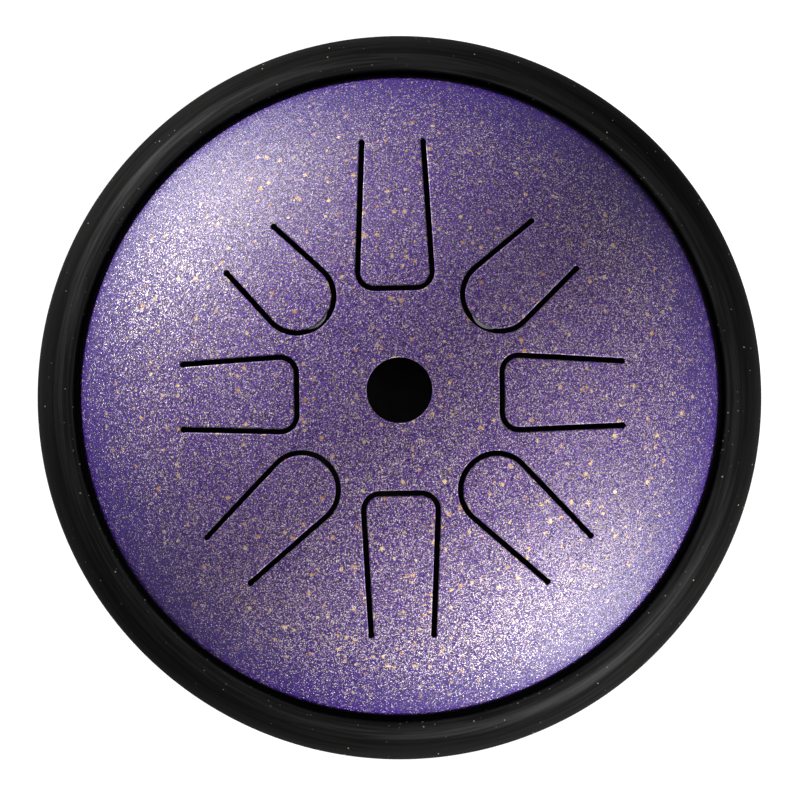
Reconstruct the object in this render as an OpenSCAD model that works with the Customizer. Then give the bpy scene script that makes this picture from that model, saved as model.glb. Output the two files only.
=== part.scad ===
// Steel tongue drum: two pressed steel shells, bonded flange to flange under a half-round rubber
// ring. The upper shell is cut into eight tuned tongues round a sound hole; the lower shell has
// a closed flat floor on four rubber feet. Millimetres, +Z up, origin on the table under the
// drum's axis. The lowest note's tongue points to +Y.

/* [Shells] */
// Outside diameter of both shells at the waist
shell_d = 150; // [142:0.5:166]
// Thickness of the steel sheet
sheet_t = 1.8; // [1:0.1:2]
// Outside radius of the domed crown
crown_r = 99; // [92:1:140]
// Outside radius of the knuckle that turns the crown into the waist
knuckle_r = 12; // [8:0.5:18]
// Height of the upper shell's knuckle centre over the flange
upper_skirt = 4.4; // [3.8:0.1:9]
// Depth of the lower shell's knuckle centre under the flange
lower_skirt = 9; // [6:0.1:14]
// Diameter of the lower shell's flat floor
floor_d = 80; // [76:0.5:90]
// Outside radius of the bend round the lower shell's floor
floor_bend_r = 14; // [8:0.5:18]
// Diameter of the sound hole in the crown
hole_d = 14.7; // [8:0.1:24]

/* [Flange] */
// Width of the flange outside the waist
flange_w = 5; // [3:0.1:6]
// Inside radius of the bend between waist and flange
bend_r = 1.5; // [0.8:0.1:2.2]
// Thickness of the adhesive between the two flanges
glue_t = 0.2; // [0.1:0.05:0.5]

/* [Tongues] */
// Distance from the drum's axis to the slot round each tongue's tip
tip_r = 22.9; // [20:0.1:26]
// Length of the longest tongue, the lowest note, from its tip to its root
tongue_len = 34.4; // [28:0.1:38]
// Width of a tongue at its tip, between the centres of its slots
tongue_w = 17; // [13:0.1:18]
// Angle between a tongue's side and its middle line: the root is narrower than the tip
tongue_taper = 2.5; // [0:0.1:4]
// Radius of the slot's corners at a square tip
square_tip_r = 3.8; // [1.5:0.1:6]
// Width of the cut slots
slot_w = 1.2; // [0.6:0.1:2]
// Diameter of the round pierced end of each slot
slot_end_d = 1.4; // [1.2:0.1:2.2]
// Cut between a tongue's root and the shell, which lets the tongue flex as a body of its own
root_gap = 0.03; // [0.02:0.01:0.1]

/* [Rubber ring] */
// Width of the ring, from its inner face to its widest point
ring_w = 9.5; // [8:0.1:14]
// Height of the ring
ring_h = 20; // [16:0.5:28]
// Gap between the ring's inner face and the shells
ring_gap = 0.5; // [0.2:0.1:1.5]
// Gap between the flanges and the groove that holds them
groove_gap = 0.1; // [0.05:0.05:0.3]
// Chamfer on the ring's two inner edges
ring_chamfer = 0.6; // [0.2:0.1:1.5]

/* [Feet] */
// Height of a foot
foot_h = 6.5; // [5.5:0.5:12]
// Diameter of a foot at the floor
foot_d = 16; // [14.5:0.5:17]
// Diameter of a foot where it stands on the table
foot_base_d = 14.5; // [12:0.5:16]
// Chamfer round the edge that a foot stands on
foot_chamfer = 0.8; // [0.3:0.1:1.5]
// Flat floor left outside each foot
foot_margin = 0.5; // [0:0.1:3]

/* [Hidden] */
$fn = 96;

paint_colour = "#6a55b0";
rubber_colour = "#1a1a1a";
steel_colour = "#b8bcc0";
glue_colour = "#c9bf9a";

// One row for each tongue, from the lowest note to the highest: azimuth in degrees, length as a
// share of tongue_len, sideways shift of its middle line as a share of tongue_w, and whether its
// tip is a half circle (1) or square with rounded corners (0). The small shifts are those of the
// photographed drum, whose slots were cut a little off an even layout.
tongue_shares = [
    [91.1, 1.00, 0.028, 0],
    [-89.2, 0.93, -0.004, 0],
    [-136.6, 0.91, 0.06, 1],
    [-42.9, 0.895, -0.08, 1],
    [0.5, 0.80, -0.034, 0],
    [180.7, 0.755, 0.032, 0],
    [43.2, 0.74, 0.024, 1],
    [134.6, 0.685, 0.086, 1]
];

// Four feet, on the diagonals
foot_azimuths = [45, 135, 225, 315];

// Metric 3 mm pan-head screw, its nut and its large washers
screw_d = 3;
screw_head_d = 5.6;
screw_head_h = 2.4;
screw_end = 0.8;
nut_flats = 5.5;
nut_h = 2.4;
washer_d = 9;
washer_t = 0.8;
// Radial clearance of a screw in a washer or nut, and in the rubber and the floor
thread_gap = 0.05;
shank_gap = 0.2;
// Recess for the screw's head in the underside of a foot, and its steel insert
recess_d = 9.4;
recess_depth = 3.4;
insert_t = 0.8;
insert_gap = 0.1;

// Every cut runs this far past the surface that it opens
overrun = 1;

shell_r = shell_d / 2;
flange_r = shell_r + flange_w;
ring_in_r = shell_r + ring_gap;
ring_r = ring_in_r + ring_w;
// The ring's outside is one arc through both inner edges and the widest point
ring_arc_r = (ring_w * ring_w + ring_h * ring_h / 4) / (2 * ring_w);
ring_arc_x = ring_r - ring_arc_r;
// Height of the crown's centre over the knuckle's centre, which is negative
crown_drop = -sqrt(pow(crown_r - knuckle_r, 2) - pow(shell_r - knuckle_r, 2));
// From the crown's centre to the knuckle's; as far again is well past the outside
crown_ray = [shell_r - knuckle_r, -crown_drop];
upper_top = upper_skirt + crown_drop + crown_r;
// From the centre of the lower shell's side to the centre of the bend round the floor
floor_r = floor_d / 2;
bend_ray = [floor_r, sqrt(pow(crown_r - floor_bend_r, 2) - pow(floor_r, 2))];
bend_y = lower_skirt + crown_drop + bend_ray[1];
// Depth of the lower shell from the glue line to the outside of its floor
lower_depth = bend_y + floor_bend_r;
foot_circle_r = floor_r - foot_d / 2 - foot_margin;
seam_z = foot_h + lower_depth;

// Corner radius of a half-round tip, as a share of the largest that the tongue's width allows
round_tip_share = 0.98;
// Length of the cross recess in a screw's head, and its width, as shares of the head's diameter
cross_length_share = 0.6;
cross_width_share = 0.12;

half_round_r = tongue_w / 2 * cos(tongue_taper) / (1 + sin(tongue_taper));
function tip_corner_r(i) = tongue_shares[i][3] == 1 ? half_round_r * round_tip_share : square_tip_r;
function root_u(i) = tip_r + tongue_len * tongue_shares[i][1];
// Sideways place of a tip corner's centre
function corner_v(i) = tongue_w / 2 - tip_corner_r(i) * (1 + sin(tongue_taper)) / cos(tongue_taper);
// Where the side line is tangent to a corner whose radius is r, and the line's half width at u
function tangent_u(i, r) = tip_r + tip_corner_r(i) + r * sin(tongue_taper);
function side_v(i, r, u) = corner_v(i) + r * cos(tongue_taper) - (u - tangent_u(i, r)) * tan(tongue_taper);

// Plan of a tongue in its own frame, u outwards along X: the slot's middle line grown by grow
module tongue_plan(i, grow, end_u) {
    corner_r = tip_corner_r(i) + grow;
    corner_u = tip_r + tip_corner_r(i);
    inner_v = side_v(i, corner_r / 2, end_u);
    intersection() {
        translate([0, -tongue_w]) square([end_u, 2 * tongue_w]);
        union() {
            for (side = [0, 1])
                mirror([0, side]) translate([corner_u, corner_v(i)]) {
                    circle(corner_r);
                    // Strips behind the tip and along the side, each tangent to the corner
                    translate([-corner_r, -corner_v(i)]) square([corner_r, corner_v(i)]);
                    rotate(-tongue_taper) square([end_u, corner_r]);
                }
            polygon([
                [corner_u, -corner_v(i)],
                [end_u, -inner_v],
                [end_u, inner_v],
                [corner_u, corner_v(i)]
            ]);
        }
    }
}

module slot_ends(i) {
    for (side = [-1, 1])
        translate([root_u(i), side * side_v(i, tip_corner_r(i), root_u(i))]) circle(d = slot_end_d);
}

// Stands a tongue's plan at its place on the drum, as a column through the crown
module tongue_column(i) {
    rotate(tongue_shares[i][0])
        translate([0, tongue_shares[i][2] * tongue_w, seam_z])
            linear_extrude(upper_top + overrun) children();
}

// Quarter ring of sheet round the origin, r_out to r_out - sheet_t, in the quadrant of +X and +Y
module quarter_band(r_out) {
    intersection() {
        difference() {
            circle(r_out);
            circle(r_out - sheet_t);
        }
        square(r_out + overrun);
    }
}

// Half section of the flange and its bend, over the line of the glue
module flange_section() {
    translate([shell_r + bend_r, glue_t / 2]) square([flange_w - bend_r, sheet_t]);
    translate([shell_r + bend_r, glue_t / 2 + sheet_t + bend_r])
        rotate(180) quarter_band(bend_r + sheet_t);
}

// Half section of the waist and the knuckle, whose centre is skirt over the glue line
module waist_section(skirt) {
    bend_top = glue_t / 2 + sheet_t + bend_r;
    translate([shell_r - sheet_t, bend_top]) square([sheet_t, skirt - bend_top]);
    intersection() {
        translate([shell_r - knuckle_r, skirt]) quarter_band(knuckle_r);
        // Below the ray from the crown's centre through the knuckle's, where the crown takes over
        polygon([
            [0, skirt + crown_drop],
            [shell_r, skirt + crown_drop],
            [shell_r + overrun, skirt + knuckle_r],
            [shell_r - knuckle_r, skirt] + crown_ray
        ]);
    }
}

// Half section of the crown, from the knuckle in to the axis
module crown_section(skirt) {
    translate([0, skirt + crown_drop])
        intersection() {
            quarter_band(crown_r);
            polygon([
                [0, 0],
                2 * crown_ray,
                [0, 2 * crown_r]
            ]);
        }
}

// Half section of the lower shell's sloping side and flat floor, drawn upwards from the glue line
module floor_section() {
    intersection() {
        crown_section(lower_skirt);
        polygon([
            [0, lower_skirt + crown_drop],
            [2 * shell_r, 0],
            [floor_r, bend_y] + bend_ray
        ]);
    }
    intersection() {
        translate([floor_r, bend_y]) quarter_band(floor_bend_r);
        polygon([
            [floor_r, bend_y],
            [floor_r, bend_y] + bend_ray,
            [floor_r, lower_depth + overrun]
        ]);
    }
    translate([0, lower_depth - sheet_t]) square([floor_r, sheet_t]);
}

module upper_sheet() {
    translate([0, 0, seam_z])
        rotate_extrude() {
            flange_section();
            waist_section(upper_skirt);
            crown_section(upper_skirt);
        }
}

module upper_shell() {
    color(paint_colour)
        difference() {
            upper_sheet();
            for (i = [0 : len(tongue_shares) - 1])
                tongue_column(i) {
                    tongue_plan(i, slot_w / 2, root_u(i));
                    slot_ends(i);
                }
            translate([0, 0, seam_z]) cylinder(d = hole_d, h = upper_top + overrun);
        }
}

module tongue(i) {
    color(paint_colour)
        intersection() {
            translate([0, 0, seam_z]) rotate_extrude() crown_section(upper_skirt);
            tongue_column(i)
                difference() {
                    tongue_plan(i, -slot_w / 2, root_u(i) - root_gap);
                    slot_ends(i);
                }
        }
}

module lower_shell() {
    color(paint_colour)
        translate([0, 0, seam_z])
            mirror([0, 0, 1])
                difference() {
                    rotate_extrude() {
                        flange_section();
                        waist_section(lower_skirt);
                        floor_section();
                    }
                    at_feet()
                        cylinder(r = screw_d / 2 + shank_gap, h = lower_depth + overrun);
                }
}

module rim_adhesive() {
    color(glue_colour)
        translate([0, 0, seam_z - glue_t / 2])
            difference() {
                cylinder(r = flange_r, h = glue_t);
                translate([0, 0, -overrun])
                    cylinder(r = shell_r + bend_r, h = glue_t + 2 * overrun);
            }
}

module ring_section() {
    groove_h = 2 * (sheet_t + groove_gap) + glue_t;
    bend_relief = bend_r + ring_gap;
    difference() {
        intersection() {
            translate([ring_arc_x, 0]) circle(ring_arc_r);
            translate([ring_in_r, -ring_h / 2]) square([ring_w, ring_h]);
        }
        translate([ring_in_r - overrun, -groove_h / 2])
            square([flange_r + groove_gap - ring_in_r + overrun, groove_h]);
        for (side = [-1, 1]) {
            // Chamfer at the inner edge, and the relief that clears the flange's bend
            translate([ring_in_r, side * ring_h / 2]) rotate(45)
                square(ring_chamfer * sqrt(2), center = true);
            translate([ring_in_r, side * groove_h / 2]) rotate(45)
                square(bend_relief * sqrt(2), center = true);
        }
    }
}

module rubber_ring() {
    color(rubber_colour)
        translate([0, 0, seam_z]) rotate_extrude() ring_section();
}

module at_feet() {
    for (azimuth = foot_azimuths)
        rotate(azimuth) translate([foot_circle_r, 0, 0]) children();
}

module foot(i) {
    color(rubber_colour)
        rotate(foot_azimuths[i]) translate([foot_circle_r, 0, 0])
            difference() {
                union() {
                    cylinder(d1 = foot_base_d - 2 * foot_chamfer, d2 = foot_base_d, h = foot_chamfer);
                    translate([0, 0, foot_chamfer])
                        cylinder(d1 = foot_base_d, d2 = foot_d, h = foot_h - foot_chamfer);
                }
                translate([0, 0, -overrun])
                    cylinder(d = recess_d, h = recess_depth + insert_t + overrun);
                cylinder(r = screw_d / 2 + shank_gap, h = foot_h + overrun);
            }
}

module washer(outer_d, thickness) {
    difference() {
        cylinder(d = outer_d, h = thickness);
        translate([0, 0, -overrun])
            cylinder(r = screw_d / 2 + thread_gap, h = thickness + 2 * overrun);
    }
}

// Steel washers moulded into the recesses of the feet
module foot_inserts() {
    color(steel_colour)
        at_feet() translate([0, 0, recess_depth]) washer(recess_d - 2 * insert_gap, insert_t);
}

module foot_screws() {
    head_z = recess_depth - screw_head_h;
    shank_top = foot_h + sheet_t + washer_t + nut_h + screw_end;
    cross_l = screw_head_d * cross_length_share;
    cross_w = screw_head_d * cross_width_share;
    color(steel_colour)
        at_feet() translate([0, 0, head_z])
            difference() {
                union() {
                    cylinder(d = screw_head_d, h = screw_head_h);
                    cylinder(d = screw_d, h = shank_top - head_z);
                }
                for (turn = [0, 90])
                    rotate(turn) translate([-cross_l / 2, -cross_w / 2, -overrun])
                        cube([cross_l, cross_w, screw_head_h / 2 + overrun]);
            }
}

// Plain washers on the floor, inside the drum
module foot_washers() {
    color(steel_colour)
        at_feet() translate([0, 0, foot_h + sheet_t]) washer(washer_d, washer_t);
}

module foot_nuts() {
    color(steel_colour)
        at_feet() translate([0, 0, foot_h + sheet_t + washer_t])
            difference() {
                cylinder(d = nut_flats / cos(30), h = nut_h, $fn = 6);
                translate([0, 0, -overrun])
                    cylinder(r = screw_d / 2 + thread_gap, h = nut_h + 2 * overrun);
            }
}

upper_shell();
for (i = [0 : len(tongue_shares) - 1])
    tongue(i);
lower_shell();
rim_adhesive();
rubber_ring();
for (i = [0 : len(foot_azimuths) - 1])
    foot(i);
foot_inserts();
foot_screws();
foot_washers();
foot_nuts();
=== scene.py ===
"""Looks of the steel tongue drum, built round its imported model."""
import math
from collections import namedtuple

import bpy
import numpy as np
from mathutils import Matrix, Vector
from mathutils.geometry import delaunay_2d_cdt


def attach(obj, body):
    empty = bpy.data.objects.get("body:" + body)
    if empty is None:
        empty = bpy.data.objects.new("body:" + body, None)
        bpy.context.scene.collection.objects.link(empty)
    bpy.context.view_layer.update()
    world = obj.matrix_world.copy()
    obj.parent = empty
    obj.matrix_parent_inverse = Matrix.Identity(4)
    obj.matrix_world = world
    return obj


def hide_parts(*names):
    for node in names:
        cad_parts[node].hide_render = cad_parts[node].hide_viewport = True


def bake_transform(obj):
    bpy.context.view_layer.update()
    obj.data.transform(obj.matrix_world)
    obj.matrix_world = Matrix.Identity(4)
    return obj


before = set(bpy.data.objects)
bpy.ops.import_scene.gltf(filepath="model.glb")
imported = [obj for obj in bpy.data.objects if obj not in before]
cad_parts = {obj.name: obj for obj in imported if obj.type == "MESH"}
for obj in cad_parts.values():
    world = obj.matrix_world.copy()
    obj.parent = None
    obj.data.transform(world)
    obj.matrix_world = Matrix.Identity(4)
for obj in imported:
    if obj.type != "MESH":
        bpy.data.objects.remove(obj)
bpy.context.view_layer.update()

MM = 0.001

# Sizes of the drum, in millimetres; section heights are measured from the glue line
SHELL_R = 75.0
SHEET_T = 1.8
CROWN_R = 99.0
KNUCKLE_R = 12.0
CROWN_DROP = -math.sqrt((CROWN_R - KNUCKLE_R) ** 2 - (SHELL_R - KNUCKLE_R) ** 2)
UPPER_SKIRT = 4.4
LOWER_SKIRT = 9.0
FLOOR_R = 40.0
FLOOR_BEND_R = 14.0
FLOOR_BEND_Y = LOWER_SKIRT + CROWN_DROP + math.sqrt((CROWN_R - FLOOR_BEND_R) ** 2 - FLOOR_R ** 2)
LOWER_DEPTH = FLOOR_BEND_Y + FLOOR_BEND_R
FLANGE_W = 5.0
FLANGE_R = SHELL_R + FLANGE_W
BEND_R = 1.5
GLUE_T = 0.2
HOLE_R = 7.35

TIP_R = 22.9
TONGUE_LEN = 34.4
TONGUE_W = 17.0
TAPER = math.radians(2.5)
SQUARE_TIP_R = 3.8
HALF_ROUND_R = TONGUE_W / 2 * math.cos(TAPER) / (1 + math.sin(TAPER))
ROUND_TIP_R = 0.98 * HALF_ROUND_R
SLOT_W = 1.2
SLOT_END_R = 0.7
# The azimuth is in degrees, and the shares are of the longest tongue's length and of the width
TongueShape = namedtuple("TongueShape", "azimuth length_share sideways_share half_round")
TONGUES = (
    TongueShape(91.1, 1.00, 0.028, False),
    TongueShape(-89.2, 0.93, -0.004, False),
    TongueShape(-136.6, 0.91, 0.06, True),
    TongueShape(-42.9, 0.895, -0.08, True),
    TongueShape(0.5, 0.80, -0.034, False),
    TongueShape(180.7, 0.755, 0.032, False),
    TongueShape(43.2, 0.74, 0.024, True),
    TongueShape(134.6, 0.685, 0.086, True),
)

RING_GAP = 0.5
RING_W = 9.5
RING_H = 20.0
RING_IN_R = SHELL_R + RING_GAP
RING_R = RING_IN_R + RING_W
RING_ARC_R = (RING_W ** 2 + (RING_H / 2) ** 2) / (2 * RING_W)
RING_ARC_X = RING_R - RING_ARC_R
RING_LIP = 0.6
GROOVE_GAP = 0.1
GROOVE_R = FLANGE_R + GROOVE_GAP
GROOVE_HALF = GLUE_T / 2 + SHEET_T + GROOVE_GAP
BEND_RELIEF = 2.0

FOOT_H = 6.5
FOOT_R = 8.0
FOOT_BASE_R = 7.25
FOOT_CHAMFER = 0.8
FOOT_EDGE_R = 0.5
FOOT_MARGIN = 0.5
FOOT_CIRCLE_R = FLOOR_R - FOOT_R - FOOT_MARGIN
FOOT_AZIMUTHS = (45, 135, 225, 315)
RECESS_R = 4.7
RECESS_H = 4.2
SCREW_HOLE_R = 1.7
# Height of the glue line over the ground
SEAM_Z = FOOT_H + LOWER_DEPTH

# Fineness of the meshes
ROUND_STEPS = 288
HOLE_STEPS = 96
SCREW_HOLE_STEPS = 32
FOOT_STEPS = 64
ROOT_STEPS = 9
EDGE_STEPS = 4
FILL_STEP = 2.1
# Radius of the rounding at cut edges
EDGE_R = 0.28
# Distance from the axis within which the crown's sheet is cut
CUT_R = 66.0

# Sizes of the paint's grains, in metres; equal sizes would tie the two layers' cells together
GRAIN_SIZE = 0.00018
DEPTH_SIZE = 0.00020
# Colours of the paint
VIOLET_CROWN = (0.100, 0.031, 0.29)
# Darker violet towards the rim: painted shade
VIOLET_RIM_SHADE = (0.034, 0.005, 0.17)
VIOLET_DARK = (0.009, 0.002, 0.045)
PEARL = (0.70, 0.63, 0.72)
OCHRE = (0.58, 0.45, 0.25)
GRAIN_DARK = (0.10, 0.055, 0.07)
GILT_DEEP = (0.44, 0.21, 0.06)
GILT_PALE = (0.60, 0.46, 0.24)
# Near black for the gap between dome and ring: painted shade
GAP_SHADE_BLACK = (0.012, 0.012, 0.012)
# Distances from the axis between which the grains in the paint thin out
RIM_THINS = (57.0, 74.5)
# Distances from the axis between which the lacquer goes from matt to satin
CROWN_MATT = (24.0, 50.0)
# Distances from the axis between which the violet under the grains darkens towards the rim, as painted shade
RIM_SHADE_RAMP = (35.0, 72.0)
# Distances from the axis between which the paint goes near black down in the gap to the ring, as painted
# shade
GAP_SHADE_RAMP = (73.9, 74.5)
# Distances from the axis at which the polished band on the ring starts, is brightest and ends
RING_BAND = (76.0, 78.4, 81.0)
# Distances from the axis between which the dust on the ring's lip thins out
LIP_DUST = (76.2, 77.4)


# Mesh building
class Skin:
    """Points, faces and corner normals of one closed piece, in millimetres."""

    def __init__(self):
        self.points = []
        self.faces = []
        self.normals = []
        self.lined = []
        # While this is set, the faces that are added belong to the lining of the sheet
        self.lining = False

    def add_points(self, points):
        first = len(self.points)
        self.points.extend(tuple(p) for p in points)
        return list(range(first, len(self.points)))

    def add_face(self, corners, normals):
        self.faces.append(list(corners))
        self.normals.append([tuple(n) for n in normals])
        self.lined.append(self.lining)

    def add_strip(self, low, high, low_normals, high_normals, closed=True):
        """A strip of faces between two rows of points."""
        count = len(low)
        for k in range(count if closed else count - 1):
            m = (k + 1) % count
            self.add_face(
                (low[k], low[m], high[m], high[k]),
                (low_normals[k], low_normals[m], high_normals[m], high_normals[k]),
            )

    def make(self, name, *materials):
        """A mesh object whose faces all look the way of their corner normals."""
        points = np.array(self.points)
        padded = np.array([f if len(f) == 4 else f + f[-1:] for f in self.faces])
        p = points[padded]
        facing = np.cross(p[:, 2] - p[:, 0], p[:, 3] - p[:, 1])
        wanted = np.array([np.sum(n, axis=0) for n in self.normals])
        for k in np.nonzero(np.sum(facing * wanted, axis=1) < 0)[0]:
            self.faces[k].reverse()
            self.normals[k].reverse()
        mesh = bpy.data.meshes.new(name)
        mesh.from_pydata((points * MM).tolist(), [], self.faces)
        mesh.shade_smooth()
        mesh.normals_split_custom_set([n for corners in self.normals for n in corners])
        for material in materials:
            mesh.materials.append(material)
        mesh.polygons.foreach_set("material_index", np.array(self.lined, np.int32))
        piece = bpy.data.objects.new(name, mesh)
        bpy.context.scene.collection.objects.link(piece)
        return piece


def unit(v):
    v = np.asarray(v, float)
    return v / np.linalg.norm(v, axis=-1, keepdims=True)


def arc(centre_r, centre_z, radius, start, stop, steps, way=1):
    """Section points (r, z, normal r, normal z) on an arc; way is -1 for a hollow side."""
    turn = np.radians(np.linspace(start, stop, steps + 1))
    c, s = np.cos(turn), np.sin(turn)
    return np.stack([centre_r + radius * c, centre_z + radius * s, way * c, way * s], 1)


def line(r0, z0, r1, z1, normal_r, normal_z, steps=1):
    share = np.linspace(0, 1, steps + 1)[:, None]
    ends = np.array([[r0, z0]]) * (1 - share) + np.array([[r1, z1]]) * share
    return np.hstack([ends, np.tile([[normal_r, normal_z]], (steps + 1, 1))])


def rim_section(skirt, join):
    """Knuckle, waist, bend and flange: the painted outside, and the lining back to the crown."""
    bend_x, bend_z = SHELL_R + BEND_R, GLUE_T / 2 + SHEET_T + BEND_R
    low, top = GLUE_T / 2, GLUE_T / 2 + SHEET_T
    in_r = SHELL_R - SHEET_T
    centre_r = SHELL_R - KNUCKLE_R
    painted = [
        arc(centre_r, skirt, KNUCKLE_R, join, 0, steps=12),
        line(SHELL_R, skirt, SHELL_R, bend_z, 1, 0),
        arc(bend_x, bend_z, BEND_R, 180, 270, steps=5, way=-1),
        line(bend_x, top, FLANGE_R, top, 0, 1),
        line(FLANGE_R, top, FLANGE_R, low, 1, 0),
    ]
    lining = [
        line(FLANGE_R, low, bend_x, low, 0, -1),
        arc(bend_x, bend_z, BEND_R + SHEET_T, 270, 180, steps=6),
        line(in_r, bend_z, in_r, skirt, -1, 0),
        arc(centre_r, skirt, KNUCKLE_R - SHEET_T, 0, join, steps=10, way=-1),
    ]
    return painted, lining


def round_points(radius, z, steps=ROUND_STEPS):
    turn = np.arange(steps) * 2 * math.pi / steps
    return np.stack([radius * np.cos(turn), radius * np.sin(turn), np.full(steps, z)], 1)


def lathe(skin, painted, lining, first, last, steps=ROUND_STEPS):
    """Turns section parts round the axis, between two rows of points that are there."""
    row = first
    sections = [*painted, *lining]
    for n, part in enumerate(sections):
        skin.lining = n >= len(painted)
        for k in range(1, len(part)):
            ending = n == len(sections) - 1 and k == len(part) - 1
            new = last if ending else skin.add_points(round_points(part[k][0], part[k][1], steps))
            low = round_points(part[k - 1][2], part[k - 1][3], steps)
            high = round_points(part[k][2], part[k][3], steps)
            skin.add_strip(row, new, low, high)
            row = new


def inside(outline, points):
    """Which of the points lie in the closed outline."""
    a, b = outline, np.roll(outline, -1, 0)
    x, y = points[:, :1], points[:, 1:]
    crosses = (a[:, 1] > y) != (b[:, 1] > y)
    rise = np.where(b[:, 1] == a[:, 1], 1, b[:, 1] - a[:, 1])
    at = a[:, 0] + (y - a[:, 1]) * (b[:, 0] - a[:, 0]) / rise
    return np.sum(crosses & (x < at), axis=1) % 2 == 1


def circle_loop(radius, grow, centre=(0, 0), steps=HOLE_STEPS):
    """Plan of a round hole grown by grow, with the directions into the hole."""
    turn = np.arange(steps) * 2 * math.pi / steps
    way = np.stack([np.cos(turn), np.sin(turn)], 1)
    return np.array(centre) + (radius + grow) * way, -way


def slot_half(shape, grow):
    """Half a slot in its tongue's frame: round the tip outside, the slot's end, and back inside."""
    corner = ROUND_TIP_R if shape.half_round else SQUARE_TIP_R
    flat_half = TONGUE_W / 2 - corner * (1 + math.sin(TAPER)) / math.cos(TAPER)
    centre = np.array([TIP_R + corner, flat_half])
    root_u = TIP_R + TONGUE_LEN * shape.length_share
    along = np.array([math.cos(TAPER), -math.sin(TAPER)])
    out = np.array([math.sin(TAPER), math.cos(TAPER)])
    start = centre + corner * out
    end = start + along * (root_u - start[0]) / along[0]
    off, end_r = SLOT_W / 2 + grow, SLOT_END_R + grow
    back = math.sqrt(end_r ** 2 - off ** 2)
    points, ways = [], []

    def add(new, way):
        points.append(np.atleast_2d(new))
        ways.append(np.broadcast_to(way, points[-1].shape))

    tip_steps = 4
    corner_steps = 12 if shape.half_round else 8
    side_steps = 16
    far_steps = 12
    near_steps = 3
    turns = np.radians(np.linspace(180, 90 - math.degrees(TAPER), corner_steps + 1))
    spokes = np.stack([np.cos(turns), np.sin(turns)], 1)
    share = np.linspace(0, 1, tip_steps, endpoint=False)[:, None]
    side = np.linspace(0, 1, side_steps + 1)[1:, None]
    for sign in (1, -1):
        reach = corner + sign * off
        tip_u = centre[0] - reach
        tip = np.array([tip_u, 0]) * (1 - share) + np.array([tip_u, centre[1]]) * share
        bend = centre + reach * spokes
        leave = end + sign * off * out - back * along
        wall = bend[-1] * (1 - side) + leave * side
        if sign == 1:
            add(tip, (1, 0))
            add(bend, -spokes)
            add(wall[:-1], -out)
            # Round the far side of the slot's end to the root, and on to the tongue's side
            first = math.atan2(*(leave - end)[::-1])
            last = math.atan2(*(end - off * out - back * along - end)[::-1])
            far = np.linspace(first, -math.pi / 2, far_steps + 1)
            near = np.linspace(-math.pi / 2, last, near_steps + 1)[1:]
            stops = np.concatenate([far, near])
            way = np.stack([np.cos(stops), np.sin(stops)], 1)
            root = sum(len(p) for p in points) + far_steps
            add(end + end_r * way, -way)
        else:
            add(wall[:-1][::-1], out)
            add(bend[::-1], spokes[::-1])
            add(tip[::-1], (-1, 0))
    return np.vstack(points), np.vstack(ways), root


def slot_loop(shape, grow):
    """Whole slot on the drum's plan, directions into the slot, and its two points at the root."""
    points, ways, root = slot_half(shape, grow)
    count = len(points)
    flip = np.array([1, -1])
    # The first and last points lie on the middle line, so the mirrored half leaves them out
    points = np.vstack([points, (points * flip)[1:-1][::-1]])
    ways = np.vstack([ways, (ways * flip)[1:-1][::-1]])
    turn = math.radians(shape.azimuth)
    frame_x = np.array([math.cos(turn), math.sin(turn)])
    frame_y = np.array([-frame_x[1], frame_x[0]])
    shift = shape.sideways_share * TONGUE_W
    placed = points[:, :1] * frame_x + (points[:, 1:] + shift) * frame_y
    turned = ways[:, :1] * frame_x + ways[:, 1:] * frame_y
    return placed, unit(turned), (root, 2 * count - 2 - root)


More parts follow.
